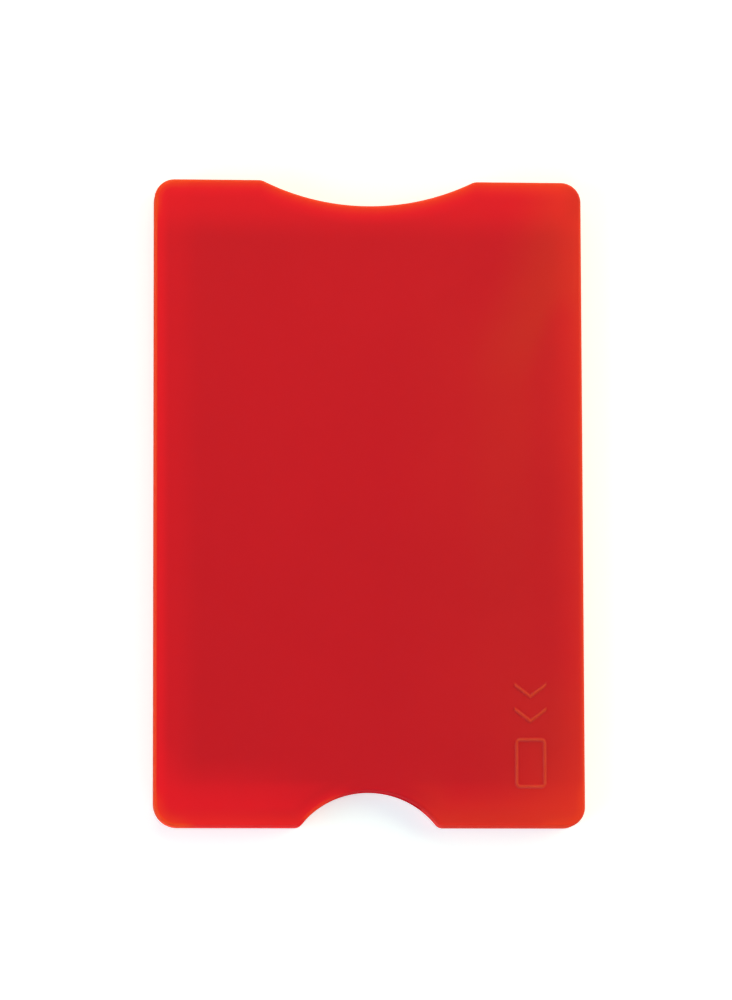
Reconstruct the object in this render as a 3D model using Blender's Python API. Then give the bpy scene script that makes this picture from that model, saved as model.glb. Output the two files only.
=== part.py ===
"""Hard plastic sleeve for one payment-size card, with a foil shield inside each face.

Metres, +Z up. The sleeve lies on its rear face: the front face looks along +Z, the card's mouth
faces +Y and the origin is at the middle of the footprint. Two moulded half shells meet at
mid-thickness, where a tongue on the rear shell sits in a groove of the front one. The card slides
in at the mouth, down to the bottom wall, and a thumb pushes it out again through the notch there.
"""

import math

import bmesh
import bpy

# The card, and the room that it gets
CARD_WIDTH = 0.05398
CARD_LENGTH = 0.0856
CARD_SIDE_CLEARANCE = 0.0003
CARD_SLOT_HEIGHT = 0.0016

# Moulded walls
RAIL_WIDTH = 0.00256
BOTTOM_WALL = 0.0025
PANEL_THICKNESS = 0.0008
MOUTH_LEAD = 0.0022
POCKET_CORNER_RADIUS = 0.0002
PARTING_GAP = 0.0001

# Outline: corners, finger scoop at the mouth, thumb notch at the bottom
TOP_CORNER_RADIUS = 0.0028
BOTTOM_LEFT_RADIUS = 0.0033
BOTTOM_RIGHT_RADIUS = 0.0028
EDGE_ROUND = 0.0005
SCOOP_RADIUS = 0.033
SCOOP_REACH = 0.00135
SCOOP_LIP_RADIUS = 0.002
NOTCH_RADIUS = 0.012
NOTCH_REACH = 0.0024
NOTCH_LIP_RADIUS = 0.0012

# Tongue of the rear shell, and its groove in the front shell
TONGUE_WIDTH = 0.0008
TONGUE_HEIGHT = 0.0004
TONGUE_CLEARANCE = 0.0002
TONGUE_CORNER_RADIUS = 0.0016
TONGUE_MOUTH_SETBACK = 0.004
TONGUE_NOTCH_SETBACK = 0.0015

# Foil shields, and the double-sided tapes that bond them to the panels
SHIELD_THICKNESS = 0.0001
SHIELD_SIDE_CLEARANCE = 0.00044
SHIELD_SCOOP_MARGIN = 0.00195
SHIELD_NOTCH_MARGIN = 0.0033
SHIELD_CORNER_RADIUS = 0.002
TAPE_THICKNESS = 0.0001
TAPE_INSET = 0.001
LAYER_GAP = 0.0001

# Raised sign on the front face: a card outline with two chevrons above it that show the way in
SIGN_RIGHT_MARGIN = 0.0053
SIGN_BOTTOM_MARGIN = 0.0053
SIGN_WIDTH = 0.0045
SIGN_CARD_LENGTH = 0.0071
SIGN_CARD_CORNER_RADIUS = 0.0008
SIGN_STROKE = 0.0006
SIGN_HEIGHT = 0.0002
CHEVRON_RISE = 0.0017
CHEVRON_GAP = 0.0019
CHEVRON_PITCH = 0.0034

# How far a cutter runs past the face that it cuts, and a raised body into its wall
OVERRUN = 0.0004

# Counts of straight steps along the arcs
CORNER_STEPS = 8
LIP_STEPS = 6
SCOOP_STEPS = 26
NOTCH_STEPS = 22
ROUND_STEPS = 4
SMALL_CORNER_STEPS = 4
CHEVRON_COUNT = 2

# Sizes that follow from those above
SLOT_WIDTH = CARD_WIDTH + 2 * CARD_SIDE_CLEARANCE
SLEEVE_WIDTH = SLOT_WIDTH + 2 * RAIL_WIDTH
SLEEVE_LENGTH = BOTTOM_WALL + CARD_LENGTH + MOUTH_LEAD
BOTTOM_Y = -SLEEVE_LENGTH / 2
MOUTH_Y = SLEEVE_LENGTH / 2
POCKET_BOTTOM_Y = BOTTOM_Y + BOTTOM_WALL
SCOOP_DEPTH = MOUTH_LEAD + SCOOP_REACH
NOTCH_DEPTH = BOTTOM_WALL + NOTCH_REACH
LAYER_STACK = 2 * LAYER_GAP + TAPE_THICKNESS + SHIELD_THICKNESS
SLEEVE_THICKNESS = CARD_SLOT_HEIGHT + 2 * (PANEL_THICKNESS + LAYER_STACK)
SHELL_HEIGHT = (SLEEVE_THICKNESS - PARTING_GAP) / 2

# Colours, linear
RED_PLASTIC = (0.565, 0.016, 0.021, 1.0)
BARE_FOIL = (0.78, 0.78, 0.80, 1.0)
WHITE_TAPE = (0.80, 0.79, 0.76, 1.0)

# Finishes, from 0 to 1, and the angle from which an edge is drawn sharp
PLASTIC_ROUGHNESS = 0.35
FOIL_ROUGHNESS = 0.3
TAPE_ROUGHNESS = 0.6
NOT_METAL = 0.0
ALL_METAL = 1.0
SHARP_ANGLE = math.radians(30)


def clear_scene():
    for scene_object in list(bpy.data.objects):
        bpy.data.objects.remove(scene_object, do_unlink=True)


def make_material(name, colour, roughness, metallic):
    material = bpy.data.materials.new(name)
    material.use_nodes = True
    shader = material.node_tree.nodes["Principled BSDF"]
    shader.inputs["Base Color"].default_value = colour
    shader.inputs["Roughness"].default_value = roughness
    shader.inputs["Metallic"].default_value = metallic
    return material


def arc(centre, radius, start, end, steps):
    """Points along an arc between two angles, both ends included."""
    angles = [start + (end - start) * step / steps for step in range(steps + 1)]
    return [
        (centre[0] + radius * math.cos(angle), centre[1] + radius * math.sin(angle))
        for angle in angles
    ]


def cut_lip_x(radius, depth, lip_radius):
    """Half the width between the lips of a round cut in an end: where its lips' centres lie."""
    return math.sqrt((radius + lip_radius) ** 2 - (radius - depth + lip_radius) ** 2)


def corner_arc(side, radius, inset, start, end):
    """The round corner of the lower end, on the left (side is -1) or on the right (side is 1)."""
    centre = (side * (SLEEVE_WIDTH / 2 - radius), BOTTOM_Y + radius)
    return arc(centre, radius - inset, start, end, CORNER_STEPS)


def end_outline(left_radius, right_radius, radius, depth, lip_radius, steps, inset):
    """The lower end of the outline, left to right: corner, lip, round cut, lip, corner.

    An inset moves the whole edge into the material, so corners and lips tighten and the cut widens.
    """
    lip_x = cut_lip_x(radius, depth, lip_radius)
    lip_y = BOTTOM_Y + lip_radius
    cut_y = BOTTOM_Y + depth - radius
    toward_cut = math.atan2(cut_y - lip_y, lip_x)
    down = -math.pi / 2
    lip_size = lip_radius - inset
    return (
        corner_arc(-1, left_radius, inset, -math.pi, down)
        + arc((-lip_x, lip_y), lip_size, down, toward_cut, LIP_STEPS)
        + arc((0, cut_y), radius + inset, math.pi + toward_cut, -toward_cut, steps)[1:-1]
        + arc((lip_x, lip_y), lip_size, -math.pi - toward_cut, down, LIP_STEPS)
        + corner_arc(1, right_radius, inset, down, 0)
    )


def sleeve_outline(inset):
    """The whole outline, counter-clockwise: the notched end, then the scooped end turned half round."""
    notched_end = end_outline(
        BOTTOM_LEFT_RADIUS,
        BOTTOM_RIGHT_RADIUS,
        NOTCH_RADIUS,
        NOTCH_DEPTH,
        NOTCH_LIP_RADIUS,
        NOTCH_STEPS,
        inset,
    )
    scooped_end = end_outline(
        TOP_CORNER_RADIUS,
        TOP_CORNER_RADIUS,
        SCOOP_RADIUS,
        SCOOP_DEPTH,
        SCOOP_LIP_RADIUS,
        SCOOP_STEPS,
        inset,
    )
    return notched_end + [(-x, -y) for x, y in scooped_end]


def rounded_rectangle(low, high, radius):
    """A counter-clockwise rectangle with four round corners."""
    corners = (
        ((high[0] - radius, low[1] + radius), -math.pi / 2),
        ((high[0] - radius, high[1] - radius), 0),
        ((low[0] + radius, high[1] - radius), math.pi / 2),
        ((low[0] + radius, low[1] + radius), math.pi),
    )
    points = []
    for centre, start in corners:
        points += arc(centre, radius, start, start + math.pi / 2, SMALL_CORNER_STEPS)
    return points


def add_loft(mesh, loops):
    """Add a closed body through loops of equal counts, given as (points, height) pairs."""
    rings = [[mesh.verts.new((x, y, z)) for x, y in points] for points, z in loops]
    for ring, next_ring in zip(rings, rings[1:]):
        for i in range(len(ring)):
            mesh.faces.new((ring[i - 1], ring[i], next_ring[i], next_ring[i - 1]))
    mesh.faces.new(rings[0])
    mesh.faces.new(rings[-1])


def add_ring(mesh, outer, inner, low, high):
    """Add a flat ring between two loops of equal counts."""
    loops = [
        [mesh.verts.new((x, y, z)) for x, y in points]
        for points, z in ((outer, low), (outer, high), (inner, high), (inner, low))
    ]
    for ring, next_ring in zip(loops, loops[1:] + loops[:1]):
        for i in range(len(ring)):
            mesh.faces.new((ring[i - 1], ring[i], next_ring[i], next_ring[i - 1]))


def finish_object(name, mesh, height, parent=None, material=None):
    """Turn built geometry into an object placed at its height. Without a material it is a cutter."""
    bmesh.ops.recalc_face_normals(mesh, faces=mesh.faces)
    data = bpy.data.meshes.new(name)
    mesh.to_mesh(data)
    mesh.free()
    data.shade_smooth()
    data.set_sharp_from_angle(angle=SHARP_ANGLE)
    result = bpy.data.objects.new(name, data)
    bpy.context.collection.objects.link(result)
    result.location = (0, 0, height)
    result.parent = parent
    if material:
        data.materials.append(material)
    else:
        result.display_type = "WIRE"
        result.hide_render = True
    return result


def add_boolean(target, tool, operation):
    modifier = target.modifiers.new(tool.name, "BOOLEAN")
    modifier.operation = operation
    modifier.object = tool
    modifier.solver = "EXACT"


def make_prism(name, points, low, high, height, parent=None, material=None):
    mesh = bmesh.new()
    add_loft(mesh, [(points, low), (points, high)])
    return finish_object(name, mesh, height, parent, material)


def make_shell_blank(name, outward, height, parent, material):
    """A full-depth half shell. Its parting face is at local z 0 and its rounded face lies outward."""
    mesh = bmesh.new()
    loops = [(sleeve_outline(0), 0)]
    for step in range(ROUND_STEPS + 1):
        angle = math.pi / 2 * step / ROUND_STEPS
        inset = EDGE_ROUND * (1 - math.cos(angle))
        drop = EDGE_ROUND * (1 - math.sin(angle))
        loops.append((sleeve_outline(inset), outward * (SHELL_HEIGHT - drop)))
    add_loft(mesh, loops)
    return finish_object(name, mesh, height, parent, material)


def cut_pocket(shell, outward, height, parent):
    """Half of the space that the card and the shield share, open at the mouth."""
    low = (-SLOT_WIDTH / 2, POCKET_BOTTOM_Y)
    high = (SLOT_WIDTH / 2, MOUTH_Y + OVERRUN + POCKET_CORNER_RADIUS)
    pocket = make_prism(
        shell.name + "_pocket_cutter",
        rounded_rectangle(low, high, POCKET_CORNER_RADIUS),
        outward * (SHELL_HEIGHT - PANEL_THICKNESS),
        -outward * OVERRUN,
        height,
        parent,
    )
    add_boolean(shell, pocket, "DIFFERENCE")


def side_strip(width, extra_length):
    """A strip along the middle of the left rail, round the corner and along the bottom wall."""
    rail_x = -(SLEEVE_WIDTH - RAIL_WIDTH) / 2
    wall_y = BOTTOM_Y + BOTTOM_WALL / 2
    top_y = MOUTH_Y - TONGUE_MOUTH_SETBACK + extra_length
    notch_edge = cut_lip_x(NOTCH_RADIUS, NOTCH_DEPTH, NOTCH_LIP_RADIUS)
    end_x = -notch_edge - TONGUE_NOTCH_SETBACK + extra_length
    centre = (rail_x + TONGUE_CORNER_RADIUS, wall_y + TONGUE_CORNER_RADIUS)
    outer = TONGUE_CORNER_RADIUS + width / 2
    inner = TONGUE_CORNER_RADIUS - width / 2
    return (
        [(rail_x - width / 2, top_y)]
        + arc(centre, outer, -math.pi, -math.pi / 2, SMALL_CORNER_STEPS)
        + [(end_x, wall_y - width / 2), (end_x, wall_y + width / 2)]
        + arc(centre, inner, -math.pi / 2, -math.pi, SMALL_CORNER_STEPS)
        + [(rail_x + width / 2, top_y)]
    )


def make_side_strips(name, width, extra_length, low, high, height, parent):
    """The left strip and its mirror image on the right, as two bodies of one tool."""
    mesh = bmesh.new()
    left = side_strip(width, extra_length)
    right = [(-x, y) for x, y in left]
    for points in (left, right):
        add_loft(mesh, [(points, low), (points, high)])
    return finish_object(name, mesh, height, parent)


def chevron(centre_x, tip_y):
    """A V with level ends, its point down."""
    half = SIGN_WIDTH / 2
    thickness = SIGN_STROKE * math.hypot(half, CHEVRON_RISE) / half
    return [
        (centre_x, tip_y),
        (centre_x + half, tip_y + CHEVRON_RISE),
        (centre_x + half, tip_y + CHEVRON_RISE + thickness),
        (centre_x, tip_y + thickness),
        (centre_x - half, tip_y + CHEVRON_RISE + thickness),
        (centre_x - half, tip_y + CHEVRON_RISE),
    ]


def make_sign(height, parent):
    """The raised sign near the right bottom corner of the front face."""
    mesh = bmesh.new()
    right = SLEEVE_WIDTH / 2 - SIGN_RIGHT_MARGIN
    left = right - SIGN_WIDTH
    bottom = BOTTOM_Y + SIGN_BOTTOM_MARGIN
    top = bottom + SIGN_CARD_LENGTH
    outer = rounded_rectangle((left, bottom), (right, top), SIGN_CARD_CORNER_RADIUS)
    inner = rounded_rectangle(
        (left + SIGN_STROKE, bottom + SIGN_STROKE),
        (right - SIGN_STROKE, top - SIGN_STROKE),
        SIGN_CARD_CORNER_RADIUS - SIGN_STROKE,
    )
    add_ring(mesh, outer, inner, -OVERRUN, SIGN_HEIGHT)
    for number in range(CHEVRON_COUNT):
        tip_y = top + CHEVRON_GAP + number * CHEVRON_PITCH
        points = chevron((left + right) / 2, tip_y)
        add_loft(mesh, [(points, -OVERRUN), (points, SIGN_HEIGHT)])
    return finish_object("sign_guide", mesh, height, parent)


def make_rear_shell(parent, plastic):
    shell = make_shell_blank("rear_shell", -1, SHELL_HEIGHT, parent, plastic)
    cut_pocket(shell, -1, SHELL_HEIGHT, parent)
    tongue = make_side_strips(
        "tongue_guide", TONGUE_WIDTH, 0, -OVERRUN, TONGUE_HEIGHT, SHELL_HEIGHT, parent
    )
    add_boolean(shell, tongue, "UNION")


def make_front_shell(parent, plastic):
    height = SHELL_HEIGHT + PARTING_GAP
    shell = make_shell_blank("front_shell", 1, height, parent, plastic)
    cut_pocket(shell, 1, height, parent)
    groove = make_side_strips(
        "groove_cutter",
        TONGUE_WIDTH + 2 * TONGUE_CLEARANCE,
        TONGUE_CLEARANCE,
        -OVERRUN,
        TONGUE_HEIGHT - PARTING_GAP + TONGUE_CLEARANCE,
        height,
        parent,
    )
    add_boolean(shell, groove, "DIFFERENCE")
    add_boolean(shell, make_sign(SLEEVE_THICKNESS, parent), "UNION")


def shield_bounds(inset):
    """Low and high corners of a shield, a rectangle that clears the scoop and the notch."""
    half = SLOT_WIDTH / 2 - SHIELD_SIDE_CLEARANCE - inset
    low = (-half, BOTTOM_Y + NOTCH_DEPTH + SHIELD_NOTCH_MARGIN + inset)
    high = (half, MOUTH_Y - SCOOP_DEPTH - SHIELD_SCOOP_MARGIN - inset)
    return low, high


def make_shield_layers(side, parent, foil, tape):
    """The tape and the foil behind one panel, counted inward from that panel's inner face."""
    tape_outline = rounded_rectangle(*shield_bounds(TAPE_INSET), SHIELD_CORNER_RADIUS)
    foil_outline = rounded_rectangle(*shield_bounds(0), SHIELD_CORNER_RADIUS)
    tape_low = PANEL_THICKNESS + LAYER_GAP
    foil_low = tape_low + TAPE_THICKNESS + LAYER_GAP
    layers = (
        ("tape", tape_outline, tape_low, TAPE_THICKNESS, tape),
        ("shield", foil_outline, foil_low, SHIELD_THICKNESS, foil),
    )
    for name, outline, low, thickness, material in layers:
        height = low if side == "rear" else SLEEVE_THICKNESS - low - thickness
        make_prism(f"{side}_{name}", outline, 0, thickness, height, parent, material)


def main():
    clear_scene()
    plastic = make_material("red_plastic", RED_PLASTIC, PLASTIC_ROUGHNESS, NOT_METAL)
    foil = make_material("aluminium_foil", BARE_FOIL, FOIL_ROUGHNESS, ALL_METAL)
    tape = make_material("white_tape", WHITE_TAPE, TAPE_ROUGHNESS, NOT_METAL)
    sleeve = bpy.data.objects.new("card_sleeve", None)
    bpy.context.collection.objects.link(sleeve)
    make_rear_shell(sleeve, plastic)
    make_front_shell(sleeve, plastic)
    for side in ("rear", "front"):
        make_shield_layers(side, sleeve, foil, tape)


main()
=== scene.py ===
# %% [markdown]
# # A rigid sleeve for one payment card
# Two moulded halves in translucent red plastic close round a slot for one card. A foil sheet
# behind each panel keeps radio readers out, and it shows through the plastic as a darker field.
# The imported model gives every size: it is loaded first and measured.

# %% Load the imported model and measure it
import math

import bmesh
import bpy
from mathutils import Euler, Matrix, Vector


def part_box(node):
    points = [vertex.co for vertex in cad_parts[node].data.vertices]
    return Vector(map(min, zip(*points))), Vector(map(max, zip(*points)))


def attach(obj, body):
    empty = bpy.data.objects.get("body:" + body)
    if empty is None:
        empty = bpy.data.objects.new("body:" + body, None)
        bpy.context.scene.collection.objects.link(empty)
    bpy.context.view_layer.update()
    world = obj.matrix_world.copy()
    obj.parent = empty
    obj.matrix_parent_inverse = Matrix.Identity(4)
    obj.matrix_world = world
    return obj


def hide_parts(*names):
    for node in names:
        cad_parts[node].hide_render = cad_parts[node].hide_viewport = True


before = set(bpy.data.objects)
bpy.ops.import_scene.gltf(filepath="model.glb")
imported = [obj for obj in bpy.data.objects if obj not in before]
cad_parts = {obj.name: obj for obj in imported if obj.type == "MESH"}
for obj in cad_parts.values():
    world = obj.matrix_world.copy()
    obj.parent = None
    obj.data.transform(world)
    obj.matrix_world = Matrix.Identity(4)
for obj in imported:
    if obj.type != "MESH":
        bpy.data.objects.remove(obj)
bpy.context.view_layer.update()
_, front_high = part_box("front_shell")
HALF_WIDTH = front_high[0]
HALF_LENGTH = front_high[1]
TOP_Z = front_high[2]

# %% [markdown]
# ## The sleeve's own sizes
# The frame gives the outside. The shape in between, such as the radius of the finger scoop at the
# mouth and of the thumb notch below, is a handful of real sizes in metres. The outline, the walls
# and the pocket are all worked out from them.

# %% Sizes of the moulded halves
SIGN_HEIGHT = 0.0002
FACE_Z = TOP_Z - SIGN_HEIGHT
SEAM_Z = FACE_Z / 2
TOP_CORNER = 0.0028
BOTTOM_LEFT_CORNER = 0.0033
BOTTOM_RIGHT_CORNER = 0.0028
EDGE_ROUND = 0.0004
SCOOP = {"radius": 0.033, "depth": 0.00355, "lip": 0.002}
NOTCH = {"radius": 0.012, "depth": 0.0049, "lip": 0.0012}
RAIL = 0.00256
BOTTOM_WALL = 0.0025
PANEL = 0.0008
SEAM_GAP = 0.00003
SEAM_BEVEL = 0.00012
POCKET_CORNER = 0.0002
OVERRUN = 0.0004
print("front face at", round(1000 * FACE_Z, 2), "mm, seam at", round(1000 * SEAM_Z, 2), "mm")

# %% [markdown]
# ## The outline
# A moulder draws this outline with straight edges and arcs, so it is built the same way: a corner,
# a lip, the round cut, a lip and a corner at each end. An inset moves the whole line into the
# plastic, which is how the rounded edge is made later: the same line, a little smaller each time.

# %% Outline from arcs
CORNER_STEPS = 20
LIP_STEPS = 12
SCOOP_STEPS = 72
NOTCH_STEPS = 60


def arc(centre, radius, start, end, steps):
    """Points round a centre, from one angle to another."""
    angles = [start + (end - start) * step / steps for step in range(steps + 1)]
    return [
        (centre[0] + radius * math.cos(angle), centre[1] + radius * math.sin(angle))
        for angle in angles
    ]


def lip_x(cut):
    """How far from the middle a cut's lip meets the straight end."""
    reach = cut["radius"] + cut["lip"]
    return math.sqrt(reach**2 - (reach - cut["depth"]) ** 2)


def corner_line(side, corner, inset, start, end):
    """A lower corner's arc; side is -1 for the left one and 1 for the right one."""
    centre = (side * (HALF_WIDTH - corner), -HALF_LENGTH + corner)
    return arc(centre, corner - inset, start, end, CORNER_STEPS)


def end_line(left, right, cut, inset, steps):
    """Corner, lip, round cut, lip and corner of the lower end, from left to right."""
    lip_y = -HALF_LENGTH + cut["lip"]
    cut_y = -HALF_LENGTH + cut["depth"] - cut["radius"]
    side = lip_x(cut)
    toward = math.atan2(cut_y - lip_y, side)
    down = -math.pi / 2
    return (
        corner_line(-1, left, inset, -math.pi, down)
        + arc((-side, lip_y), cut["lip"] - inset, down, toward, LIP_STEPS)
        + arc((0, cut_y), cut["radius"] + inset, math.pi + toward, -toward, steps)[1:-1]
        + arc((side, lip_y), cut["lip"] - inset, -math.pi - toward, down, LIP_STEPS)
        + corner_line(1, right, inset, down, 0)
    )


def sleeve_line(inset):
    """The whole outline, moved into the plastic by the inset."""
    bottom = end_line(BOTTOM_LEFT_CORNER, BOTTOM_RIGHT_CORNER, NOTCH, inset, NOTCH_STEPS)
    mouth = end_line(TOP_CORNER, TOP_CORNER, SCOOP, inset, SCOOP_STEPS)
    return bottom + [(-x, -y) for x, y in mouth]


print("outline has", len(sleeve_line(0)), "points")

# %% [markdown]
# ## Bodies through stacked loops
# Each half starts as a stack of loops from one height to the next, joined by faces and closed at
# both ends. It is quicker than bevelling a block, and the rounded edge keeps its true radius round
# the tight lips, where a bevel would pinch.

# %% Loft and object helpers
def add_stack(mesh, loops):
    """Add a closed body through loops of equal counts, given as (points, height) pairs."""
    rings = [[mesh.verts.new((x, y, z)) for x, y in points] for points, z in loops]
    for ring, above in zip(rings, rings[1:]):
        for i in range(len(ring)):
            mesh.faces.new((ring[i - 1], ring[i], above[i], above[i - 1]))
    mesh.faces.new(rings[0])
    mesh.faces.new(rings[-1])


def make_object(name, mesh):
    """Turn the mesh into an object of the scene, with its faces turned outward."""
    bmesh.ops.recalc_face_normals(mesh, faces=mesh.faces)
    data = bpy.data.meshes.new(name)
    mesh.to_mesh(data)
    mesh.free()
    piece = bpy.data.objects.new(name, data)
    bpy.context.scene.collection.objects.link(piece)
    return piece


def rounded_box_line(low, high, radius, steps):
    """A rectangle with round corners, as points."""
    corners = (
        ((high[0] - radius, low[1] + radius), -math.pi / 2),
        ((high[0] - radius, high[1] - radius), 0),
        ((low[0] + radius, high[1] - radius), math.pi / 2),
        ((low[0] + radius, low[1] + radius), math.pi),
    )
    points = []
    for centre, start in corners:
        points += arc(centre, radius, start, start + math.pi / 2, steps)
    return points


def join_bodies(piece, tool, operation):
    """Cut or fuse a tool body into the piece with an exact Boolean, then delete the tool."""
    modifier = piece.modifiers.new("join", "BOOLEAN")
    modifier.operation = operation
    modifier.solver = "EXACT"
    modifier.object = tool
    graph = bpy.context.evaluated_depsgraph_get()
    baked = bpy.data.meshes.new_from_object(piece.evaluated_get(graph))
    piece.modifiers.clear()
    piece.data = baked
    bpy.data.objects.remove(tool, do_unlink=True)


print("helpers: stack of loops, rounded box line, exact Boolean")

# %% [markdown]
# ## The two moulded halves
# Each half is a shallow tray: a panel 0.8 mm thick, with rails down both sides and a wall along the
# bottom on both sides of the thumb notch. The outer edge is rounded by 0.4 mm, and the edge at the
# seam carries a tiny bevel, so that the weld line shows as a fine groove all round. The card's
# pocket is cut out of the solid blank, open at the mouth. The last loop lies a hair inside the one
# before it, so that the flat face keeps its own flat shading.

# %% Half shell
ROUND_STEPS = 10
SUPPORT = 0.00004


def half_shell(name, outward):
    """One half, with its round edge outward (1 is up, -1 is down) and its rim at the seam."""
    rim = SEAM_Z + outward * SEAM_GAP / 2
    face = FACE_Z if outward > 0 else 0
    loops = [
        (sleeve_line(SEAM_BEVEL), rim),
        (sleeve_line(0), rim + outward * SEAM_BEVEL),
    ]
    for step in range(ROUND_STEPS + 1):
        angle = math.pi / 2 * step / ROUND_STEPS
        inset = EDGE_ROUND * (1 - math.cos(angle))
        drop = EDGE_ROUND * (1 - math.sin(angle))
        loops.append((sleeve_line(inset), face - outward * drop))
    loops.append((sleeve_line(EDGE_ROUND + SUPPORT), face))
    mesh = bmesh.new()
    add_stack(mesh, loops)
    shell = make_object(name, mesh)

    floor = face - outward * PANEL
    low = (-HALF_WIDTH + RAIL, -HALF_LENGTH + BOTTOM_WALL)
    high = (HALF_WIDTH - RAIL, HALF_LENGTH + OVERRUN)
    line = rounded_box_line(low, high, POCKET_CORNER, LIP_STEPS)
    mesh = bmesh.new()
    add_stack(mesh, [(line, floor), (line, rim - outward * OVERRUN)])
    join_bodies(shell, make_object(name + "_pocket", mesh), "DIFFERENCE")
    return shell


front_shell = half_shell("front_shell_skin", 1)
rear_shell = half_shell("rear_shell_skin", -1)
for shell in (front_shell, rear_shell):
    print(shell.name, "has", len(shell.data.polygons), "faces")

# %% [markdown]
# ## The raised sign
# Near the right bottom corner the mould leaves a small raised sign: a card seen from above, and two
# chevrons that show which way it goes in. Its strokes are like low roofs, so one flank catches the
# lamps and the other lies in shade. They could be raised from a font or a picture, but a
# cross-section that rises and falls, carried along each line, keeps their flanks even. At its ends
# a chevron's stroke comes down in two short steps.

# %% Sizes of the sign
SIGN_MARGIN = 0.0053
SIGN_RIGHT = HALF_WIDTH - SIGN_MARGIN
SIGN_BOTTOM = -HALF_LENGTH + SIGN_MARGIN
SIGN_WIDTH = 0.0045
SIGN_CARD = 0.0071
SIGN_CORNER = 0.0008
SIGN_STROKE = 0.0006
CHEVRON_RISE = 0.0017
CHEVRON_GAP = 0.0019
CHEVRON_PITCH = 0.0034
CHEVRON_COUNT = 2
CHEVRON_SECTIONS = ((-1, 0.3), (-0.96, 0.85), (-0.9, 1), (0, 1), (0.9, 1), (0.96, 0.85), (1, 0.3))
STROKE_STEPS = 12
FLANK_CURVE = 1.2
print("sign's card is", round(1000 * SIGN_WIDTH, 1), "by", round(1000 * SIGN_CARD, 1), "mm")

# %% Sign strokes
def stroke_section():
    """(share across, height) of a low roof that starts and ends below the face."""
    section = [(0, -OVERRUN)]
    for step in range(STROKE_STEPS + 1):
        share = step / STROKE_STEPS
        swell = 1 - abs(2 * share - 1) ** FLANK_CURVE
        section.append((share, SIGN_HEIGHT * swell))
    section.append((1, -OVERRUN))
    return section


def add_card_stroke(mesh):
    """A closed ridge round the card's rounded outline."""
    left = SIGN_RIGHT - SIGN_WIDTH
    rings = []
    for share, height in stroke_section():
        inset = share * SIGN_STROKE
        line = rounded_box_line(
            (left + inset, SIGN_BOTTOM + inset),
            (SIGN_RIGHT - inset, SIGN_BOTTOM + SIGN_CARD - inset),
            SIGN_CORNER - inset,
            LIP_STEPS,
        )
        rings.append([mesh.verts.new((x, y, FACE_Z + height)) for x, y in line])
    for ring, next_ring in zip(rings, rings[1:] + rings[:1]):
        for i in range(len(ring)):
            mesh.faces.new((ring[i - 1], ring[i], next_ring[i], next_ring[i - 1]))


def add_chevron_stroke(mesh, tip_y):
    """A V of one stroke, its point towards the card."""
    half = SIGN_WIDTH / 2
    middle = SIGN_RIGHT - half
    thickness = SIGN_STROKE * math.hypot(half, CHEVRON_RISE) / half
    rings = []
    for side, lift in CHEVRON_SECTIONS:
        base_y = tip_y + abs(side) * CHEVRON_RISE
        ring = []
        for share, height in stroke_section():
            z = FACE_Z + (height * lift if height > 0 else height)
            ring.append(mesh.verts.new((middle + side * half, base_y + share * thickness, z)))
        rings.append(ring)
    for ring, next_ring in zip(rings, rings[1:]):
        for i in range(len(ring)):
            mesh.faces.new((ring[i - 1], ring[i], next_ring[i], next_ring[i - 1]))
    mesh.faces.new(rings[0])
    mesh.faces.new(rings[-1])


mesh = bmesh.new()
add_card_stroke(mesh)
for number in range(CHEVRON_COUNT):
    add_chevron_stroke(mesh, SIGN_BOTTOM + SIGN_CARD + CHEVRON_GAP + number * CHEVRON_PITCH)
join_bodies(front_shell, make_object("sign", mesh), "UNION")
print("front half with its sign has", len(front_shell.data.polygons), "faces")

# %% [markdown]
# ## Smooth shading and the frame
# The arcs are smooth and the edges at the seam and the pocket are crisp, so shading is smooth up to
# an angle, and the large flat faces keep their own normals. Each skin then stands for its plain
# half in the frame and moves with the sleeve's one body.

# %% Smooth the halves and hand them to the frame
SHARP_ANGLE = math.radians(32)
for shell, node in ((front_shell, "front_shell"), (rear_shell, "rear_shell")):
    shell.data.shade_smooth()
    shell.data.set_sharp_from_angle(angle=SHARP_ANGLE)
    weighted = shell.modifiers.new("flat faces keep their normals", "WEIGHTED_NORMAL")
    weighted.keep_sharp = True
    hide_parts(node)
    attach(shell, "root")
    print(shell.name, "stands for", node)

# %% [markdown]
# ## Node helpers
# The finishes below are drawn by nodes. A few short calls keep their wiring readable: each adds one
# node, feeds its sockets with a number or another node's output, and returns its own output.

# %% Wiring
NOISE_LOW = 0.3
NOISE_HIGH = 0.7


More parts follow.
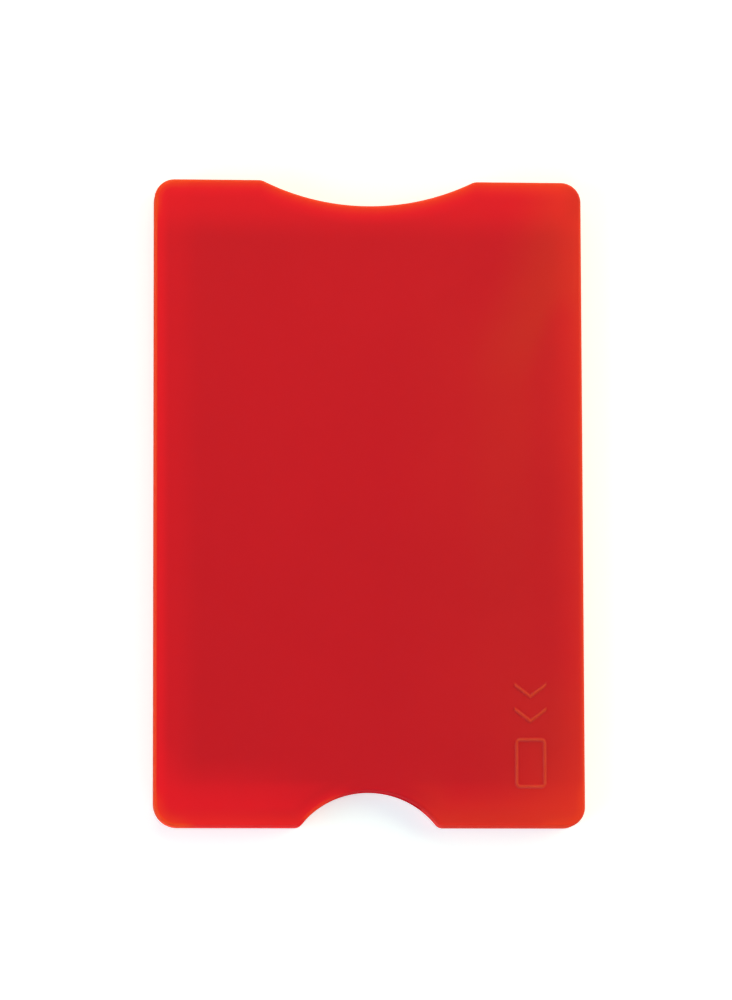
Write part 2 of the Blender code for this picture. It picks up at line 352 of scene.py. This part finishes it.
class Wiring:
    """Adds and joins the nodes of one tree."""

    def __init__(self, tree):
        self.tree = tree

    def add(self, kind, **settings):
        node = self.tree.nodes.new(kind)
        for name, value in settings.items():
            setattr(node, name, value)
        return node

    def feed(self, socket, value):
        if isinstance(value, bpy.types.NodeSocket):
            self.tree.links.new(value, socket)
        else:
            socket.default_value = value

    def math(self, operation, *values):
        node = self.add("ShaderNodeMath", operation=operation)
        for socket, value in zip(node.inputs, values):
            self.feed(socket, value)
        return node.outputs[0]

    def ramp(self, value, low, high, out_low=0.0, out_high=1.0, shape="SMOOTHSTEP"):
        node = self.add("ShaderNodeMapRange", interpolation_type=shape)
        for socket, number in zip(node.inputs, (value, low, high, out_low, out_high)):
            self.feed(socket, number)
        return node.outputs[0]

    def mix(self, share, first, second):
        node = self.add("ShaderNodeMix", data_type="RGBA")
        self.feed(node.inputs["Factor"], share)
        self.feed(node.inputs["A"], first)
        self.feed(node.inputs["B"], second)
        return node.outputs["Result"]

    def noise(self, place, scale, detail=2.0, stretch=(1, 1, 1)):
        mapping = self.add("ShaderNodeMapping")
        mapping.inputs["Scale"].default_value = stretch
        self.feed(mapping.inputs["Vector"], place)
        node = self.add("ShaderNodeTexNoise")
        node.inputs["Scale"].default_value = scale
        node.inputs["Detail"].default_value = detail
        self.feed(node.inputs["Vector"], mapping.outputs[0])
        return node.outputs["Fac"]

    def spread(self, noise, low, high):
        """Stretch the values that a noise mostly has over a range of their own."""
        return self.ramp(noise, NOISE_LOW, NOISE_HIGH, low, high, "LINEAR")


def new_group(name, inputs, outputs):
    """An empty node group with named sockets, and the wiring to fill it."""
    group = bpy.data.node_groups.new(name, "ShaderNodeTree")
    for socket, kind in inputs:
        group.interface.new_socket(socket, in_out="INPUT", socket_type=kind)
    for socket, kind in outputs:
        group.interface.new_socket(socket, in_out="OUTPUT", socket_type=kind)
    wires = Wiring(group)
    return group, wires, wires.add("NodeGroupInput"), wires.add("NodeGroupOutput")


FLOAT = "NodeSocketFloat"
VECTOR = "NodeSocketVector"
print("wiring helper makes", FLOAT, "and", VECTOR, "sockets")

# %% Helpers that start a material, bump it and place a group in it
def new_material(name):
    """A material with its wiring, its shader and the place of a point on the piece."""
    material = bpy.data.materials.new(name)
    material.use_nodes = True
    wires = Wiring(material.node_tree)
    shader = material.node_tree.nodes["Principled BSDF"]
    place = wires.add("ShaderNodeTexCoord").outputs["Object"]
    return material, wires, shader, place


def add_bump(wires, shader, height, strength, distance):
    """Let a height tilt the shader's normal; the distance is the height's depth in metres."""
    bump = wires.add("ShaderNodeBump")
    bump.inputs["Strength"].default_value = strength
    bump.inputs["Distance"].default_value = distance
    wires.feed(bump.inputs["Height"], height)
    wires.feed(shader.inputs["Normal"], bump.outputs[0])


def use_group(wires, group, place):
    """Add the group to a tree and return its outputs."""
    node = wires.add("ShaderNodeGroup", node_tree=group)
    wires.feed(node.inputs["Place"], place)
    return node.outputs


print("a material starts from the place of a point on its piece")

# %% [markdown]
# ## How deep a point lies in the sleeve
# Translucent plastic is brighter where light comes back through it: in the solid rails, in the
# margin that the foil doesn't cover, and most of all along its edges. So the red is mixed by
# distances, all worked out from the place of a point on the piece. They could be painted by hand
# on a picture, but a few lines of arithmetic stay sharp at any size. Each output is in metres:
# in from the left side, from the right side, from the straight line of either end, from the
# nearest part of each end's real edge with its round cut, from the corners, and from the nearer
# of the two faces.

# %% Distances from the sides, the ends and the round cuts
WIDER_CORNER = BOTTOM_LEFT_CORNER - TOP_CORNER


def cut_distance(wires, x, y, cut, sign):
    """How far a point lies outside a round cut in an end; sign is 1 for the mouth."""
    centre_y = sign * (HALF_LENGTH - cut["depth"] + cut["radius"])
    away_y = wires.math("SUBTRACT", y, centre_y)
    squares = wires.math("ADD", wires.math("POWER", x, 2.0), wires.math("POWER", away_y, 2.0))
    return wires.math("SUBTRACT", wires.math("SQRT", squares), cut["radius"])


def corner_distance(wires, x, y):
    """How far in a point lies from the rectangle with round corners, the cuts left aside."""
    at_left = wires.math("LESS_THAN", x, 0.0)
    at_foot = wires.math("LESS_THAN", y, 0.0)
    wider = wires.math("MULTIPLY", wires.math("MULTIPLY", at_left, at_foot), WIDER_CORNER)
    corner = wires.math("ADD", wider, TOP_CORNER)
    over_x = wires.math("ADD", wires.math("ABSOLUTE", x), corner)
    over_x = wires.math("SUBTRACT", over_x, HALF_WIDTH)
    over_y = wires.math("ADD", wires.math("ABSOLUTE", y), corner)
    over_y = wires.math("SUBTRACT", over_y, HALF_LENGTH)
    out_x = wires.math("MAXIMUM", over_x, 0.0)
    out_y = wires.math("MAXIMUM", over_y, 0.0)
    squares = wires.math("ADD", wires.math("POWER", out_x, 2.0), wires.math("POWER", out_y, 2.0))
    inside = wires.math("MINIMUM", wires.math("MAXIMUM", over_x, over_y), 0.0)
    total = wires.math("ADD", wires.math("SQRT", squares), inside)
    return wires.math("SUBTRACT", corner, total)


print("the lower left corner is wider by", round(1000 * WIDER_CORNER, 2), "mm")

# %% Distance group
def make_depth_group():
    outputs = ("Left", "Right", "Mouth Line", "Foot Line", "Mouth", "Foot", "Corner", "Face")
    group, wires, given, out = new_group(
        "depth in the sleeve", [("Place", VECTOR)], [(name, FLOAT) for name in outputs]
    )
    parts = wires.add("ShaderNodeSeparateXYZ")
    wires.feed(parts.inputs[0], given.outputs["Place"])
    x, y, z = parts.outputs
    mouth_line = wires.math("SUBTRACT", HALF_LENGTH, y)
    foot_line = wires.math("ADD", HALF_LENGTH, y)
    values = {
        "Left": wires.math("ADD", HALF_WIDTH, x),
        "Right": wires.math("SUBTRACT", HALF_WIDTH, x),
        "Mouth Line": mouth_line,
        "Foot Line": foot_line,
        "Mouth": wires.math("MINIMUM", mouth_line, cut_distance(wires, x, y, SCOOP, 1)),
        "Foot": wires.math("MINIMUM", foot_line, cut_distance(wires, x, y, NOTCH, -1)),
        "Corner": corner_distance(wires, x, y),
        "Face": wires.math("MINIMUM", z, wires.math("SUBTRACT", FACE_Z, z)),
    }
    for name, value in values.items():
        wires.feed(out.inputs[name], value)
    return group


depth_group = make_depth_group()
print("distance outputs:", len(depth_group.interface.items_tree) - 1)

# %% [markdown]
# ## Moulding texture
# A mould leaves plastic with a fine even grain, and the melt leaves faint streaks along the way it
# flowed. Both are weak: they show as a slightly uneven shine.

# %% Grain and flow group
GRAIN_SCALE = 5200
FLOW_SCALE = 420
CLOUD_SCALE = 70
ALONG_FLOW = (1, 0.12, 1)


def make_moulding_group():
    group, wires, given, out = new_group(
        "moulding texture",
        [("Place", VECTOR)],
        [("Grain", FLOAT), ("Flow", FLOAT), ("Cloud", FLOAT)],
    )
    place = given.outputs["Place"]
    wires.feed(out.inputs["Grain"], wires.noise(place, GRAIN_SCALE))
    wires.feed(out.inputs["Flow"], wires.noise(place, FLOW_SCALE, 3.0, ALONG_FLOW))
    wires.feed(out.inputs["Cloud"], wires.noise(place, CLOUD_SCALE))
    return group


moulding_group = make_moulding_group()
print("grain repeats about every", round(1000 / GRAIN_SCALE, 2), "mm")

# %% [markdown]
# ## Where the plastic glows
# Over the foil the red is deep, because the foil sends back only what the thin panel lets through.
# Past the foil's edge it brightens over some millimetres, since light spreads sideways in the
# plastic. Most of the shares below paint such light, or shade, into the plastic's colour. Every
# share below is a soft step over a distance in millimetres. Steps that are multiplied hold only
# where all of them do, and shares are joined as light through two windows is: what one leaves
# dark, the next may brighten.

# %% Soft steps
MM = 0.001


class SoftSteps:
    """Soft steps over the distances of one tree, written in millimetres."""

    def __init__(self, wires, depth):
        self.wires = wires
        self.depth = depth

    def step(self, distance, start, end, amount=1.0):
        """0 up to the start and the amount from the end on; the distance is a name or a socket."""
        value = self.depth[distance] if isinstance(distance, str) else distance
        return self.wires.ramp(value, start * MM, end * MM, 0.0, amount)

    def corner(self, side, end_line, start, end):
        """1 near the corner of a side and an end, by the sum of its two distances."""
        both = self.wires.math("ADD", self.depth[side], self.depth[end_line])
        return self.step(both, start, end)

    def where(self, *shares):
        """The product of the shares: it holds only where all of them do."""
        product = shares[0]
        for share in shares[1:]:
            product = self.wires.math("MULTIPLY", product, share)
        return product

    def join(self, *shares):
        """One minus the product of what each share leaves."""
        left_over = 1.0
        for share in shares:
            rest = self.wires.math("SUBTRACT", 1.0, share)
            left_over = self.wires.math("MULTIPLY", left_over, rest)
        return self.wires.math("SUBTRACT", 1.0, left_over)


print("one soft step of 1 is", MM, "m long")

# %% [markdown]
# ### The clear red and painted glow of margins and walls
# The solid rails and the bottom wall hold no foil, so they are clearer than the field. Over that
# clear red, lamp light that comes back through the plastic is painted as a glow: the stripe at the
# left is the strongest, the mouth glows along its scoop, and the foot is brighter at its left end,
# where a narrow band also marks the end of the foil.

# %% Share of the clear red
FOOT_AT_LEFT = 0.50
FOOT_AT_RIGHT = 0.06


# Partly painted light: besides the foil-free clear red, this share paints lamp light coming back
# through the plastic.
def glow_share(at):
    to_the_right = at.step("Right", 52, 33)
    foot_amount = at.wires.ramp(to_the_right, 0.0, 1.0, FOOT_AT_LEFT, FOOT_AT_RIGHT, "LINEAR")
    foot_band = at.where(
        at.step("Foot Line", 6.8, 5.2, 0.12), at.step("Foot", 1, 3), at.step("Foot Line", 1.6, 3)
    )
    near_left_lip = at.where(at.step("Right", 34, 38), at.step("Right", 49, 44))
    left_foot = at.where(
        at.step("Left", 4.5, 1.0, 0.26), at.step("Foot Line", 13, 9), at.step("Foot Line", 2.5, 6)
    )
    left_rail = at.join(at.step("Left", 7, 2.5, 0.23), at.step("Left", 2.3, 0.8, 0.55), left_foot)
    right_rail = at.join(
        at.step("Right", 5, 0, 0.28),
        at.step("Right", 1.4, 0.2, 0.15),
        at.where(at.step("Foot Line", 14, 4, 0.20), at.step("Right", 14, 3)),
        at.where(at.step("Right", 7, 0, 0.20), at.step("Mouth Line", 50, 20)),
    )
    mouth = at.join(at.step("Mouth Line", 9, 3, 0.53), at.step("Mouth", 3.0, 0.9, 0.56))
    foot = at.join(
        at.where(at.step("Foot Line", 10.5, 3.5), foot_amount),
        at.step("Foot Line", 6, 0.5, 0.37),
        at.step("Foot Line", 0.8, 0.2, 0.45),
        at.where(at.step("Foot", 2.0, 0.2, 0.50), at.step("Right", 31, 36)),
        foot_band,
        at.where(foot_band, near_left_lip),
    )
    return at.join(left_rail, right_rail, mouth, foot)


print("the foot's glow falls from", FOOT_AT_LEFT, "at the left to", FOOT_AT_RIGHT, "at the right")

# %% [markdown]
# ### The painted orange glow of the rims
# Light that has travelled far in red plastic leaves it at the edges as a fine orange line, which is
# painted here into the plastic's colour. It is strong along the left edge and round the corners,
# wide along the mouth and its scoop, finest at the right edge, and it marks the left flank of the
# notch.

# %% Share of the rim's orange
MOUTH_RIM = 1.8
LEAST_LEFT_RIM = 0.62


def notch_edge_share(at):
    """The edge round the notch, above the straight foot."""
    return at.where(at.step("Foot", 0.65, 0.25), at.step("Foot Line", 0.6, 1.4))


# Painted light: the orange glow along the edges.
def painted_rim_glow_share(at):
    mouth_fade = at.wires.ramp(at.depth["Mouth"], MOUTH_RIM * MM, 0, shape="LINEAR")
    left_line = at.join(
        LEAST_LEFT_RIM, at.step("Mouth Line", 60, 10, 0.70), at.step("Foot Line", 25, 8, 0.60)
    )
    corner_line = at.where(
        at.step("Corner", 0.55, 0.3, 0.35), at.step("Right", 3, 6), at.step("Foot Line", 3, 9)
    )
    low_left = at.corner("Left", "Foot Line", 6.5, 3.5)
    top_left = at.corner("Left", "Mouth Line", 7, 3.5)
    low_right = at.corner("Right", "Foot Line", 8, 4.5)
    return at.join(
        at.wires.math("POWER", mouth_fade, 2.0),
        at.where(at.step("Left", 0.48, 0.26), left_line),
        corner_line,
        at.where(at.step("Corner", 2.4, 0.2, 0.34), low_left),
        at.where(at.step("Corner", 0.6, 0.34, 0.85), low_left),
        at.where(at.step("Right", 0.85, 0.3, 0.30), at.step("Mouth Line", 12, 40)),
        at.where(notch_edge_share(at), at.step("Right", 32.5, 38, 0.58)),
        at.where(at.step("Corner", 1.3, 0.8, 0.28), top_left),
        at.where(at.step("Corner", 0.8, 0.25, 0.72), top_left),
        at.where(at.step("Corner", 1.7, 0.4, 0.32), low_right),
        at.step("Right", 0.36, 0.12, 0.80),
    )


print("the mouth's rim fades over", MOUTH_RIM, "mm")

# %% [markdown]
# ### Painted amber glow towards the right
# The warm key lamp stands at the upper right and its light shines into the plastic there. That glow
# is painted into the red as amber: along the right rail, in a patch that leans away from the top
# corner, and round the right flank of the notch. Lower down, next to the right edge, the patch
# gives way to plain red.

# %% Share of the amber
PATCH_LEAN = 0.3


# Painted light: the key lamp's glow as a patch near the top right corner.
def painted_corner_glow_share(at):
    lean = at.wires.math("MULTIPLY", at.depth["Mouth Line"], PATCH_LEAN)
    across = at.wires.math("SUBTRACT", at.depth["Right"], lean)
    patch = at.where(at.step(across, 10, 1, 0.40), at.step("Mouth Line", 31, 20))
    broken = at.where(at.step(across, 0.5, -2.5, 0.8), at.step("Mouth Line", 14, 20))
    return at.where(patch, at.wires.math("SUBTRACT", 1.0, broken))


# Painted light: where the key lamp's glow turns the red amber.
def painted_amber_glow_share(at):
    long_band = at.where(
        at.step("Right", 18, 12, 0.15), at.step("Right", 5, 9), at.step("Mouth Line", 16, 30)
    )
    return at.join(
        at.where(at.step("Right", 28, 18, 0.08), at.step("Mouth Line", 8, 25)),
        long_band,
        painted_corner_glow_share(at),
        at.where(at.step("Foot", 6, 0, 0.60), at.step("Right", 26, 18)),
        at.where(at.step("Right", 2.2, 0, 0.26), at.step("Mouth Line", 30, 14)),
        at.step("Right", 3.0, 0, 0.22),
        at.step("Right", 9.0, 0.5, 0.17),
        at.where(at.step("Right", 14, 3, 0.50), at.step("Foot Line", 26, 8)),
        at.step("Foot Line", 3.0, 0.3, 0.22),
        at.where(at.step("Mouth Line", 2.6, 1.0, 0.22), at.step("Right", 19, 8)),
    )


print("the amber patch leans by", PATCH_LEAN, "mm for each mm down from the mouth")

# %% [markdown]
# ### Shade on the lit edges, and light that leaks into the notch
# The edges that face the lamps would come out too bright, because the real ones pass part of that
# light inward. A weak shade takes it back there. Inside the notch the plastic shows light that has
# come through it from above, which is drawn as a faint glow of its own.

# %% Shares of the shade and the leak
LEAST_LEAK = 0.55


def shade_share(at):
    notch_shade = at.where(notch_edge_share(at), at.step("Right", 29, 24, 0.1))
    lit_edge = at.where(
        at.step("Corner", 0.5, 0.15, 0.11), at.step("Left", 4, 9), at.step("Foot Line", 1, 3)
    )
    top_right = at.where(
        at.step("Right", 3.5, 0.5, 0.17),
        at.step("Mouth Line", 6.5, 3.5),
        at.step("Mouth Line", 0.3, 1.2),
    )
    return at.join(notch_shade, lit_edge, top_right)


def leak_share(at):
    inside = at.where(at.step("Face", 0.2, 0.7), at.step("Foot", 1.6, 0.4))
    to_the_left = at.wires.ramp(at.depth["Right"], 23 * MM, 30 * MM, LEAST_LEAK, 1.0)
    return at.where(inside, to_the_left)


print("the leak is", LEAST_LEAK, "at the notch's right end and 1 at its left")

# %% Glow group
SHARES = {
    "Glow": glow_share,
    "Painted Rim Glow": painted_rim_glow_share,
    "Painted Amber Glow": painted_amber_glow_share,
    "Shade": shade_share,
    "Leak": leak_share,
}


def make_glow_group():
    group, wires, given, out = new_group(
        "glow through the plastic", [("Place", VECTOR)], [(name, FLOAT) for name in SHARES]
    )
    at = SoftSteps(wires, use_group(wires, depth_group, given.outputs["Place"]))
    for name, make_share in SHARES.items():
        wires.feed(out.inputs[name], make_share(at))
    return group


glow_group = make_glow_group()
print("glow group has", len(glow_group.nodes), "nodes")

# %% [markdown]
# ## Translucent red plastic
# The plastic scatters light under its skin, so it gets some real subsurface scattering. Its colour
# is mixed from the shares above: deep red over the foil, clear red with a painted glow in the solid
# parts, a painted amber glow where the key lamp shines in at the right, and a painted orange glow
# at the rim. Faint clouds of a duller red lie all over the foil's field, and a painted shade
# darkens it towards the foot. The sign's ridges get a painted orange glow, as if they caught light
# on their way up. The face is satin, with the mould's grain and the melt's faint streaks in its
# shine, and the walls are matt, since the mould isn't polished there.

# %% Colours of the red plastic
# Painted light among these colours: the ambers and the rim and ridge oranges paint lamp light
# glowing in the plastic, the clear red carries a painted glow, the streak red also paints a shade
# towards the foot, and the shade red paints shade.
DEEP_RED = (0.592, 0.0079, 0.0210, 1)
CLEAR_RED_AND_PAINTED_GLOW = (0.862, 0.0093, 0.0250, 1)
DEEP_PAINTED_AMBER_GLOW = (0.612, 0.0415, 0.0172, 1)
CLEAR_PAINTED_AMBER_GLOW = (0.862, 0.0490, 0.0195, 1)
PAINTED_RIM_GLOW = (0.880, 0.0670, 0.0160, 1)
STREAK_AND_PAINTED_SHADE_RED = (0.535, 0.0082, 0.0204, 1)
SHADE_RED = (0.330, 0.0040, 0.0080, 1)
PAINTED_RIDGE_GLOW = (0.640, 0.0750, 0.0200, 1)
LEAK_RED = (0.215, 0.0030, 0.0060, 1)
NO_LIGHT = (0, 0, 0, 1)
print("deep red is", DEEP_RED[:3], "and clear red", CLEAR_RED_AND_PAINTED_GLOW[:3])

# %% Red plastic
SATIN = (0.34, 0.37)
WALL_MATT = 0.45
CLOUDY = 0.25
PAINTED_FOOT_SHADE = 0.4
PAINTED_RIDGE_GLOW_SHARE = 0.50
PLASTIC_IOR = 1.49
SCATTER_SHARE = 0.3
SCATTER_COLOURS = (1.0, 0.25, 0.15)
SCATTER_REACH = 0.0008
GRAIN_STRENGTH = 0.05
GRAIN_DEPTH = 0.00005


def plastic_colour(wires, light, moulding, depth):
    """The colour of the plastic, from its shares of light."""
    # Painted glow: amber where the key lamp shines in at the right.
    field = wires.mix(light["Painted Amber Glow"], DEEP_RED, DEEP_PAINTED_AMBER_GLOW)
    streaks = wires.spread(moulding["Cloud"], 0.0, CLOUDY)
    # Painted shade: the field darkens towards the foot, where less lamp light falls; the clouds
    # themselves are the plastic's own.
    lower = wires.ramp(depth["Foot Line"], 58 * MM, 25 * MM, 0.0, PAINTED_FOOT_SHADE)
    colour = wires.mix(wires.math("ADD", streaks, lower), field, STREAK_AND_PAINTED_SHADE_RED)
    clear = wires.mix(light["Painted Amber Glow"], CLEAR_RED_AND_PAINTED_GLOW, CLEAR_PAINTED_AMBER_GLOW)
    # Painted glow on the clear red: lamp light coming back through the plastic.
    colour = wires.mix(light["Glow"], colour, clear)
    # Painted glow: the orange line along the rims.
    colour = wires.mix(light["Painted Rim Glow"], colour, PAINTED_RIM_GLOW)
    colour = wires.mix(light["Shade"], colour, SHADE_RED)
    # Painted highlight: the sign's ridges turn more orange, as if they caught light on their way
    # up.
    ridge = wires.ramp(depth["Face"], -0.04 * MM, -0.17 * MM, 0.0, PAINTED_RIDGE_GLOW_SHARE)
    return wires.mix(ridge, colour, PAINTED_RIDGE_GLOW)


def make_red_plastic():
    material, wires, shader, place = new_material("red_plastic_skin")
    light = use_group(wires, glow_group, place)
    moulding = use_group(wires, moulding_group, place)
    depth = use_group(wires, depth_group, place)
    colour = plastic_colour(wires, light, moulding, depth)
    wires.feed(shader.inputs["Base Color"], colour)
    wires.feed(shader.inputs["Emission Color"], wires.mix(light["Leak"], NO_LIGHT, LEAK_RED))
    shader.inputs["Emission Strength"].default_value = 1.0
    wall = wires.ramp(depth["Face"], 0.01 * MM, 0.12 * MM)
    shine = wires.spread(moulding["Flow"], *SATIN)
    matt = wires.math("MULTIPLY", wall, WALL_MATT)
    wires.feed(shader.inputs["Roughness"], wires.math("ADD", shine, matt))
    shader.inputs["IOR"].default_value = PLASTIC_IOR
    shader.inputs["Subsurface Weight"].default_value = SCATTER_SHARE
    shader.inputs["Subsurface Radius"].default_value = SCATTER_COLOURS
    shader.inputs["Subsurface Scale"].default_value = SCATTER_REACH
    add_bump(wires, shader, moulding["Grain"], GRAIN_STRENGTH, GRAIN_DEPTH)
    return material


red_plastic = make_red_plastic()
for shell in (front_shell, rear_shell):
    shell.data.materials.clear()
    shell.data.materials.append(red_plastic)
    print(shell.name, "wears", red_plastic.name)

# %% [markdown]
# ## Foil and tape
# The shields are soft aluminium foil with a lacquer that keeps it from marking the card, so it is
# rather dull, and it carries faint creases and a rolled grain. The tapes behind are thin film with
# a slightly cloudy glue. All four are the model's own sheets, and they only get a finish here.

# %% Foil and tape finishes
DARK_FOIL = (0.74, 0.75, 0.77, 1)
BRIGHT_FOIL = (0.86, 0.86, 0.87, 1)
DULL_SHINE = (0.46, 0.60)
METAL_SHARE = 0.8
ROLL_SCALE = 900
ALONG_ROLL = (1, 0.04, 1)
CREASE_SCALE = 160
CREASE_STRENGTH = 0.15
CREASE_DEPTH = 0.0002
CLEAR_TAPE = (0.70, 0.68, 0.63, 1)
WHITE_TAPE = (0.82, 0.81, 0.78, 1)
GLUE_SCALE = 300
GLUE_SHINE = (0.5, 0.7)


def make_foil():
    material, wires, shader, place = new_material("rolled_foil")
    rolled = wires.noise(place, ROLL_SCALE, 3.0, ALONG_ROLL)
    crease = wires.noise(place, CREASE_SCALE, 4.0)
    tone = wires.ramp(rolled, NOISE_LOW, NOISE_HIGH)
    wires.feed(shader.inputs["Base Color"], wires.mix(tone, DARK_FOIL, BRIGHT_FOIL))
    wires.feed(shader.inputs["Roughness"], wires.spread(rolled, *DULL_SHINE))
    shader.inputs["Metallic"].default_value = METAL_SHARE
    add_bump(wires, shader, crease, CREASE_STRENGTH, CREASE_DEPTH)
    return material


def make_tape():
    material, wires, shader, place = new_material("cloudy_tape")
    cloud = wires.noise(place, GLUE_SCALE, 3.0)
    wires.feed(shader.inputs["Base Color"], wires.mix(cloud, CLEAR_TAPE, WHITE_TAPE))
    wires.feed(shader.inputs["Roughness"], wires.spread(cloud, *GLUE_SHINE))
    return material


foil = make_foil()
tape = make_tape()
for node, finish in (
    ("front_shield", foil),
    ("rear_shield", foil),
    ("front_tape", tape),
    ("rear_tape", tape),
):
    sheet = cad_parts[node]
    sheet.data.materials.clear()
    sheet.data.materials.append(finish)
    print(node, "wears", finish.name)

# %% [markdown]
# ## Floor
# The sleeve lies on a pale floor. The lamps light it as they light the sleeve, so it keeps the
# sleeve's soft shadow, and a glow that only the camera sees lifts it to white. The lamps are warm,
# so the camera sees the floor a little cool, and the two make a plain white and a grey shadow. In
# the walls' shine the floor is dim and warm, as a floor under red plastic is, where a white one
# would wash out their colour.

# %% Floor
FLOOR_SIZE = 3.0
FLOOR_DROP = 0.00002
FLOOR_ROUGHNESS = 0.9
PALE_FLOOR = (0.8, 0.8, 0.8, 1)
COOL_FLOOR = (0.62, 0.80, 0.92, 1)
GREY_FLOOR = (0.22, 0.14, 0.09, 1)
SEEN_WHITE = 0.55
MIRRORED_WHITE = 0.1
WHITE = (1, 1, 1, 1)
WARM_WHITE = (1.0, 0.70, 0.45, 1)


def make_floor_finish():
    material, wires, shader, _ = new_material("white_floor")
    shader.inputs["Roughness"].default_value = FLOOR_ROUGHNESS
    rays = wires.add("ShaderNodeLightPath").outputs
    mirrored = wires.math("MAXIMUM", rays["Is Glossy Ray"], rays["Is Transmission Ray"])
    pale = wires.mix(rays["Is Camera Ray"], PALE_FLOOR, COOL_FLOOR)
    wires.feed(shader.inputs["Base Color"], wires.mix(mirrored, pale, GREY_FLOOR))
    seen = wires.math("MULTIPLY", rays["Is Camera Ray"], SEEN_WHITE)
    glow = wires.add("ShaderNodeEmission")
    wires.feed(glow.inputs["Color"], wires.mix(mirrored, WHITE, WARM_WHITE))
    faint = wires.math("MULTIPLY", mirrored, MIRRORED_WHITE)
    wires.feed(glow.inputs["Strength"], wires.math("ADD", seen, faint))
    both = wires.add("ShaderNodeAddShader")
    wires.feed(both.inputs[0], shader.outputs[0])
    wires.feed(both.inputs[1], glow.outputs[0])
    output = material.node_tree.nodes["Material Output"]
    wires.feed(output.inputs["Surface"], both.outputs[0])
    return material


mesh = bmesh.new()
bmesh.ops.create_grid(mesh, x_segments=1, y_segments=1, size=FLOOR_SIZE / 2)
floor = make_object("floor", mesh)
floor.location.z = -FLOOR_DROP
floor.data.materials.append(make_floor_finish())
print("floor is", FLOOR_SIZE, "m wide, seen glow", SEEN_WHITE)

# %% [markdown]
# ## World
# The face is nearly a mirror's plane to the camera, so the world is dim overhead and brighter
# towards the horizon, which keeps the red deep. A soft panel to the upper right gives the faint
# shine on that part of the face. In the shine the horizon is warm, and the camera itself sees
# white in every direction.

# %% World
HORIZON = 0.42
OVERHEAD = 0.03
LOW = (0.75, 0.15)
PANEL_GLOW = 0.35
PANEL_EDGE = 0.86
SOFT_PANEL = (0.42, 0.30, 0.856)


def make_world():
    world = bpy.data.worlds.new("studio")
    world.use_nodes = True
    wires = Wiring(world.node_tree)
    background = world.node_tree.nodes["Background"]
    direction = wires.add("ShaderNodeTexCoord").outputs["Generated"]
    parts = wires.add("ShaderNodeSeparateXYZ")
    wires.feed(parts.inputs[0], direction)
    low = wires.ramp(parts.outputs[2], *LOW)
    toward = wires.add("ShaderNodeVectorMath", operation="DOT_PRODUCT")
    wires.feed(toward.inputs[0], direction)
    toward.inputs[1].default_value = SOFT_PANEL
    panel = wires.ramp(toward.outputs["Value"], PANEL_EDGE, 1.0, 0.0, PANEL_GLOW)
    strength = wires.math("ADD", wires.math("MULTIPLY", low, HORIZON), panel)
    strength = wires.math("ADD", strength, OVERHEAD)
    rays = wires.add("ShaderNodeLightPath").outputs
    strength = wires.math("MAXIMUM", strength, rays["Is Camera Ray"])
    wires.feed(background.inputs["Strength"], strength)
    warmth = wires.math("MULTIPLY", low, rays["Is Glossy Ray"])
    wires.feed(background.inputs["Color"], wires.mix(warmth, WHITE, WARM_WHITE))
    bpy.context.scene.world = world


make_world()
print("world is", HORIZON, "at the horizon and", OVERHEAD, "overhead")

# %% [markdown]
# ## Lamps
# A large warm key stands to the upper right and a smaller warm lamp beyond the mouth, with two
# white fills at the left and the front. From most sides the key would mirror in the flat face and
# turn it pale, so each warm lamp is two in one place: the larger part lights the sleeve but isn't
# mirrored, and the smaller part is. The fills aren't mirrored at all.

# %% Lamps
WARM = (1.0, 0.86, 0.42)
NEUTRAL = (1, 1, 1)
MIRRORED_SHARE = 0.25
WARM_LAMPS = (
    ("key", (0.60, 0.25, 0.40), 0.65, 4.77),
    ("top_strip", (-0.05, 0.42, 0.28), 0.45, 1.57),
)
FILL_LAMPS = (
    ("left_fill", (-0.60, -0.20, 0.30), 0.60, 2.55),
    ("front_fill", (0.05, -0.65, 0.25), 0.60, 1.46),
)


def add_lamp(name, place, size, power, colour, mirrored):
    """A round soft lamp that looks at the sleeve, in metres and watts."""
    data = bpy.data.lights.new(name, "AREA")
    data.color = colour
    data.shape = "DISK"
    data.size = size
    data.energy = power
    lamp = bpy.data.objects.new(name, data)
    bpy.context.scene.collection.objects.link(lamp)
    lamp.location = place
    direction = -lamp.location
    lamp.rotation_euler = direction.to_track_quat("-Z", "Y").to_euler()
    lamp.visible_glossy = mirrored


for name, place, size, power in WARM_LAMPS:
    add_lamp(name, place, size, power * (1 - MIRRORED_SHARE), WARM, False)
    add_lamp(name + "_in_gloss", place, size, power * MIRRORED_SHARE, WARM, True)
for name, place, size, power in FILL_LAMPS:
    add_lamp(name, place, size, power, NEUTRAL, False)
print("lamps:", 2 * len(WARM_LAMPS) + len(FILL_LAMPS))

# %% [markdown]
# ## Camera
# The photograph looks almost straight down from 0.75 m with a long lens, a little from the left and
# from below, so that the left wall and the bottom wall just show. The turn was found by laying the
# projected outline over the photographed one.

# %% Camera
CAMERA_PLACE = (-0.05525, -0.08667, 0.750)
CAMERA_TURN = (0.115857, -0.072997, -0.002910)
FOCAL_PIXELS = 5426.0
FRAME_HEIGHT = 1000
SENSOR = 36.0
NEAREST = 0.01
FARTHEST = 10.0
camera_data = bpy.data.cameras.new("camera")
camera_data.sensor_width = SENSOR
camera_data.lens = SENSOR * FOCAL_PIXELS / FRAME_HEIGHT
camera_data.clip_start = NEAREST
camera_data.clip_end = FARTHEST
camera = bpy.data.objects.new("camera", camera_data)
bpy.context.scene.collection.objects.link(camera)
camera.location = CAMERA_PLACE
camera.rotation_euler = Euler(CAMERA_TURN, "XYZ")
bpy.context.scene.camera = camera
bpy.context.scene.view_settings.view_transform = "Standard"
print("lens is", round(camera_data.lens, 1), "mm")
